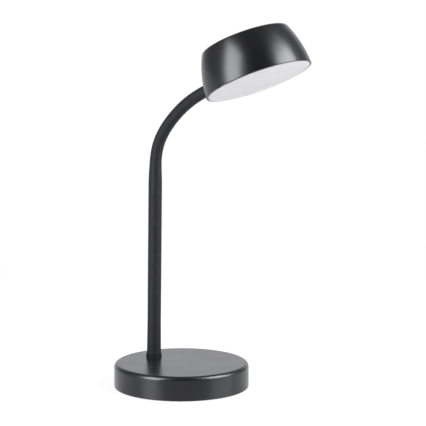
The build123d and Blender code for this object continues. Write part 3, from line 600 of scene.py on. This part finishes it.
class LAMP_OT_sleeve(bpy.types.Operator):
    """Make the rubber sleeve of the stem and the neck, one length for each joint"""

    bl_idname = "lamp.sleeve"
    bl_label = "Stem and neck sleeve"

    PLACES = 72
    BEND_STEPS = 25
    STEM_STEPS = 40
    TIP_STEPS = 12
    TAPERED = 2  # lengths, counted from the foot, whose radius changes along them

    def path(self, number, sizes):
        """Points and directions of one length, which bends about its joint from half a link below
        to half a link above, and the start and the end of that bend.
        """
        joint = BALL_CENTRES[number - 1]
        last = number == len(BALL_CENTRES)
        before = FOOT if number == 1 else BALL_CENTRES[number - 2]
        after = self.entry(sizes) if last else BALL_CENTRES[number]
        half_link = np.linalg.norm(BALL_CENTRES[1] - BALL_CENTRES[0]) / 2
        toward = (joint - before) / np.linalg.norm(joint - before)
        away = (after - joint) / np.linalg.norm(after - joint)
        start = joint - toward * half_link
        end = joint + away * half_link
        points, directions = curved(start, joint, end, self.BEND_STEPS)
        if number == 1:
            low = FOOT + toward * sizes.sleeve_rise
            stem = straight(low, start, self.STEM_STEPS)
            points = np.concatenate([stem[0], points[1:]])
            directions = np.concatenate([stem[1], directions[1:]])
        if last:
            tip = straight(end, after, self.TIP_STEPS)
            points = np.concatenate([points, tip[0][1:]])
            directions = np.concatenate([directions, tip[1][1:]])
        return points, directions, start, end

    def settle(self, number, start, end, radius):
        """How far each end ring of a bend leans into it: radius times the sine of half the turn.
        """
        toward = BALL_CENTRES[number - 1] - start
        chord = end - start
        turned = np.linalg.norm(np.cross(toward, chord))
        sine = turned / np.linalg.norm(toward) / np.linalg.norm(chord)
        return chord / np.linalg.norm(chord) * radius * sine

    def entry(self, sizes):
        """Where the arm's axis meets the head's side."""
        height = sizes.entry_height
        return np.array(head_point(-head_side(sizes, height), 0, height))

    def radii(self, number, points, sizes):
        """Outer radius along a length: the foot's, narrowing to the stem's and then the neck's."""
        foot = sizes.foot_diameter / 2
        stem = sizes.stem_diameter / 2
        neck = sizes.neck_diameter / 2
        if number > self.TAPERED:
            return np.full(len(points), neck)
        taper_start = BALL_CENTRES[0][2] - sizes.taper_length
        foot_share = 1 - smooth_step((points[:, 2] - FOOT[2]) / sizes.foot_length)
        neck_share = smooth_step((points[:, 2] - taper_start) / (BALL_CENTRES[1][2] - taper_start))
        return stem + (foot - stem) * foot_share + (neck - stem) * neck_share

    def fit_to_head(self, rings, sizes):
        """Slide the last ring along the arm until each of its points lies on the head's side.

        With y sideways and h the height in the head, the side is at -sqrt(side(h)^2 - y^2).
        """
        up = np.array(HEAD_UP)
        forward = np.array(HEAD_FORWARD)
        rim = np.array(head_point(0, 0, 0))
        ring = rings[-1]
        height = (ring - rim) @ up
        reach = (ring - rim) @ forward
        side = -np.sqrt(head_side(sizes, height) ** 2 - ring[:, 1] ** 2)
        rings[-1] = ring + (side - reach)[:, None] * forward

    def execute(self, context):
        sizes = context.scene.lamp_sizes
        bodies = ["base", *(joint["child"] for joint in NECK_JOINTS)]
        for number in range(1, len(bodies)):
            points, directions, start, end = self.path(number, sizes)
            radii = self.radii(number, points, sizes)
            outer = rings_along(points, directions, radii, self.PLACES)
            inner = rings_along(points, directions, radii - sizes.sleeve_wall, self.PLACES)
            if number == len(NECK_JOINTS):
                self.fit_to_head(outer, sizes)
                self.fit_to_head(inner, sizes)
            rings = np.concatenate([outer, inner[::-1]])
            rows = len(points)
            piece = ring_surface(f"sleeve_{number}", rings, (0, rows - 1, rows, 2 * rows - 1))
            keep_rest_place(piece)
            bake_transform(piece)
            nodes = ["stem_sleeve"] if number == 1 else [f"neck_sleeve_{number - 1}"]
            if number == len(NECK_JOINTS):
                nodes.append("tip_sleeve")
            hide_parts(*nodes)
            dress(piece, "black_sleeve")
        return {"FINISHED"}


class LAMP_OT_stage(bpy.types.Operator):
    """Make the camera, the light, the room and the floor"""

    bl_idname = "lamp.stage"
    bl_label = "Stage"

    SENSOR_WIDTH = 36  # millimetres, as a camera counts them
    CLIP_END = 50

    COOL = (0.985, 0.992, 1.025, 1)  # tint of every light but the backdrop that the camera sees
    AIM_HEIGHT = 0.2
    BOX_DISTANCE = 0.9
    BOXES = {  # turn from the camera's side, elevation, width and height of each soft box
        "left": (radians(-51.5), radians(20.7), 0.47, 0.9),
        "right": (radians(72), radians(24.2), 0.69, 0.78),
        "high": (radians(71.4), radians(43.2), 0.44, 0.4),
    }

    # Where parts of the room fade in or out, as a component of the direction looked in: away from
    # the camera for the sides, upwards for the top.
    WALL_SIDES = (0.65, 0.95)
    WALL_TOP = (0.75, 0.3)
    ROOM_SIDES = (-0.7, 0.1)

    FLOOR_HALF = 6.0
    SHADOW_REACH = 0.7  # the floor is plain white past this distance from the lamp
    SEEN_GREY = 0.3  # the more light the floor gives back, the deeper the lamp's shadow on it
    SEEN_GLOW = 0.75
    UNSEEN_GREY = 0.8
    MIRRORED_GREY = 0.167
    MIRRORED_ROUGHNESS = 0.25
    MIRRORED_GLOW = 0.44
    MIRRORED_RISE = 0.18  # how much more the floor glows behind the lamp
    RISE_PLACES = (-0.12, 0.03)  # where that begins and ends, measured away from the camera

    def camera(self, context, stage):
        turn = stage.azimuth
        tilt = stage.pitch
        sideways = Vector((cos(turn), sin(turn), 0))
        target = sideways * stage.target_shift + Vector((0, 0, stage.target_height))
        back = Vector((sin(turn) * cos(tilt), -cos(turn) * cos(tilt), sin(tilt)))
        data = bpy.data.cameras.new("camera")
        data.sensor_width = self.SENSOR_WIDTH
        data.lens = data.sensor_width / 2 / np.tan(stage.half_view)
        data.clip_end = self.CLIP_END
        camera = bpy.data.objects.new("camera", data)
        camera.location = target + back * stage.distance
        camera.rotation_euler = (-back).to_track_quat("-Z", "Y").to_euler()
        context.scene.collection.objects.link(camera)
        context.scene.camera = camera

    def soft_box(self, context, name, level, turn, elevation, width, height):
        """Rectangular light that faces the lamp, its turn measured from the camera's side."""
        data = bpy.data.lights.new(name, "AREA")
        data.shape = "RECTANGLE"
        data.size = width
        data.size_y = height
        data.energy = level * pi * width * height
        data.color = self.COOL[:3]
        angle = context.scene.lamp_stage.azimuth - pi / 2 + turn
        away = Vector((cos(angle) * cos(elevation), sin(angle) * cos(elevation), sin(elevation)))
        light = bpy.data.objects.new(name, data)
        light.location = away * self.BOX_DISTANCE + Vector((0, 0, self.AIM_HEIGHT))
        light.rotation_euler = (-away).to_track_quat("-Z", "Y").to_euler()
        context.scene.collection.objects.link(light)

    def room(self, context, stage):
        """World light: white to the camera, and to gloss a pale wall behind and a dim room."""
        world = bpy.data.worlds.new("room")
        world.use_nodes = True
        context.scene.world = world
        tree = Graph(world.node_tree)
        background = tree.nodes["Background"]
        direction = tree.add("ShaderNodeTexCoord").outputs["Generated"]
        parts = tree.add("ShaderNodeSeparateXYZ", {0: direction}).outputs
        behind = tree.math(
            "ADD",
            tree.math("MULTIPLY", parts["X"], -sin(stage.azimuth)),
            tree.math("MULTIPLY", parts["Y"], cos(stage.azimuth)),
        )
        wall = tree.math(
            "MULTIPLY", tree.fade(behind, *self.WALL_SIDES), tree.fade(parts["Z"], *self.WALL_TOP)
        )
        sides_rise = stage.side_gloss - stage.front_gloss
        sides = tree.math("MULTIPLY", tree.fade(behind, *self.ROOM_SIDES), sides_rise)
        dim = tree.math("ADD", sides, stage.front_gloss)
        gloss = tree.math("MAXIMUM", tree.math("MULTIPLY", wall, stage.wall_gloss), dim)
        ray, reflected = tree.rays()
        lit = tree.math("MULTIPLY", tree.math("SUBTRACT", 1.0, reflected), stage.ambient)
        indirect = tree.math("ADD", tree.math("MULTIPLY", reflected, gloss), lit)
        unseen = tree.math("SUBTRACT", 1.0, ray["Is Camera Ray"])
        hidden = tree.math("MULTIPLY", unseen, indirect)
        strength = tree.math("ADD", hidden, ray["Is Camera Ray"])
        tree.link(strength, background.inputs["Strength"])
        tint = tree.mix_colours(ray["Is Camera Ray"], self.COOL, grey(1))
        tree.link(tint, background.inputs["Color"])

    def seen_floor(self, tree, place):
        """What the camera sees: white less the lamp's shadow near it, and plain white far off."""
        reach = tree.add("ShaderNodeVectorMath", {0: place}, operation="LENGTH").outputs["Value"]
        far = tree.fade(reach, self.SHADOW_REACH / 2, self.SHADOW_REACH)
        white = tree.add("ShaderNodeEmission", {"Strength": 1.0}).outputs[0]
        shaded = tree.add("ShaderNodeBsdfDiffuse", {"Color": grey(self.SEEN_GREY)}).outputs[0]
        lit = tree.add("ShaderNodeEmission", {"Strength": self.SEEN_GLOW}).outputs[0]
        return tree.mix_shaders(far, tree.add_shaders(shaded, lit), white)

    def mirrored_floor(self, tree, place, turn):
        """What gloss sees: a dull glow, brighter behind the lamp, and a blurred mirror."""
        away = (-sin(turn), cos(turn), 0)
        behind = tree.add("ShaderNodeVectorMath", {0: place, 1: away}, operation="DOT_PRODUCT")
        share = tree.fade(behind.outputs["Value"], *self.RISE_PLACES)
        rise = tree.math("MULTIPLY", share, self.MIRRORED_RISE)
        glow = tree.math("ADD", rise, self.MIRRORED_GLOW)
        dull = tree.add("ShaderNodeEmission", {"Color": self.COOL, "Strength": glow}).outputs[0]
        inputs = {"Color": grey(self.MIRRORED_GREY), "Roughness": self.MIRRORED_ROUGHNESS}
        return tree.add_shaders(dull, tree.add("ShaderNodeBsdfGlossy", inputs).outputs[0])

    def floor(self, context, stage):
        """Wide pale floor, open from below."""
        half = self.FLOOR_HALF
        corners = [(-half, -half, 0), (half, -half, 0), (half, half, 0), (-half, half, 0)]
        mesh = bpy.data.meshes.new("floor")
        mesh.from_pydata(corners, [], [(0, 1, 2, 3)])
        floor = bpy.data.objects.new("floor", mesh)
        context.scene.collection.objects.link(floor)
        material = bpy.data.materials.new("floor")
        material.use_nodes = True
        tree = Graph(material.node_tree)
        tree.nodes.clear()
        ray, reflected = tree.rays()
        place = tree.add("ShaderNodeTexCoord").outputs["Object"]
        seen = self.seen_floor(tree, place)
        mirrored = self.mirrored_floor(tree, place, stage.azimuth)
        plain = tree.add("ShaderNodeBsdfDiffuse", {"Color": grey(self.UNSEEN_GREY)}).outputs[0]
        unseen = tree.mix_shaders(reflected, plain, mirrored)
        above = tree.mix_shaders(ray["Is Camera Ray"], unseen, seen)
        below = tree.add("ShaderNodeBsdfTransparent").outputs[0]
        side = tree.add("ShaderNodeNewGeometry").outputs["Backfacing"]
        shader = tree.mix_shaders(side, above, below)
        tree.add("ShaderNodeOutputMaterial", {"Surface": shader})
        mesh.materials.append(material)

    def execute(self, context):
        stage = context.scene.lamp_stage
        self.camera(context, stage)
        self.room(context, stage)
        self.floor(context, stage)
        for name, sizes in self.BOXES.items():
            self.soft_box(context, f"{name}_box", getattr(stage, f"{name}_level"), *sizes)
        context.scene.view_settings.view_transform = "Standard"
        return {"FINISHED"}


class LAMP_PT_panel(bpy.types.Panel):
    """Lists the lamp's pieces and what may be changed"""

    bl_label = "Desk lamp"
    bl_idname = "LAMP_PT_panel"
    bl_space_type = "VIEW_3D"
    bl_region_type = "UI"
    bl_category = "Desk Lamp"

    def draw(self, context):
        layout = self.layout
        for operator in OPERATORS:
            layout.operator(operator.bl_idname)
        scene = context.scene
        for group in (scene.lamp_sizes, scene.lamp_finishes, scene.lamp_stage):
            box = layout.box()
            for name in group.bl_rna.properties.keys():
                if name not in ("rna_type", "name"):
                    box.prop(group, name)


GROUPS = {"lamp_sizes": LampSizes, "lamp_finishes": LampFinishes, "lamp_stage": LampStage}
OPERATORS = (LAMP_OT_finishes, LAMP_OT_sleeve, LAMP_OT_stage)


def register():
    """Register the classes and hang the groups on the scene."""
    for item in (*GROUPS.values(), *OPERATORS, LAMP_PT_panel):
        bpy.utils.register_class(item)
    for name, group in GROUPS.items():
        setattr(bpy.types.Scene, name, PointerProperty(type=group))


def unregister():
    """Undo register."""
    for name in GROUPS:
        delattr(bpy.types.Scene, name)
    for item in reversed((*GROUPS.values(), *OPERATORS, LAMP_PT_panel)):
        bpy.utils.unregister_class(item)


def main():
    """Make every piece in order."""
    register()
    bpy.ops.lamp.finishes()
    bpy.ops.lamp.sleeve()
    bpy.ops.lamp.stage()


if __name__ == "__main__":
    main()
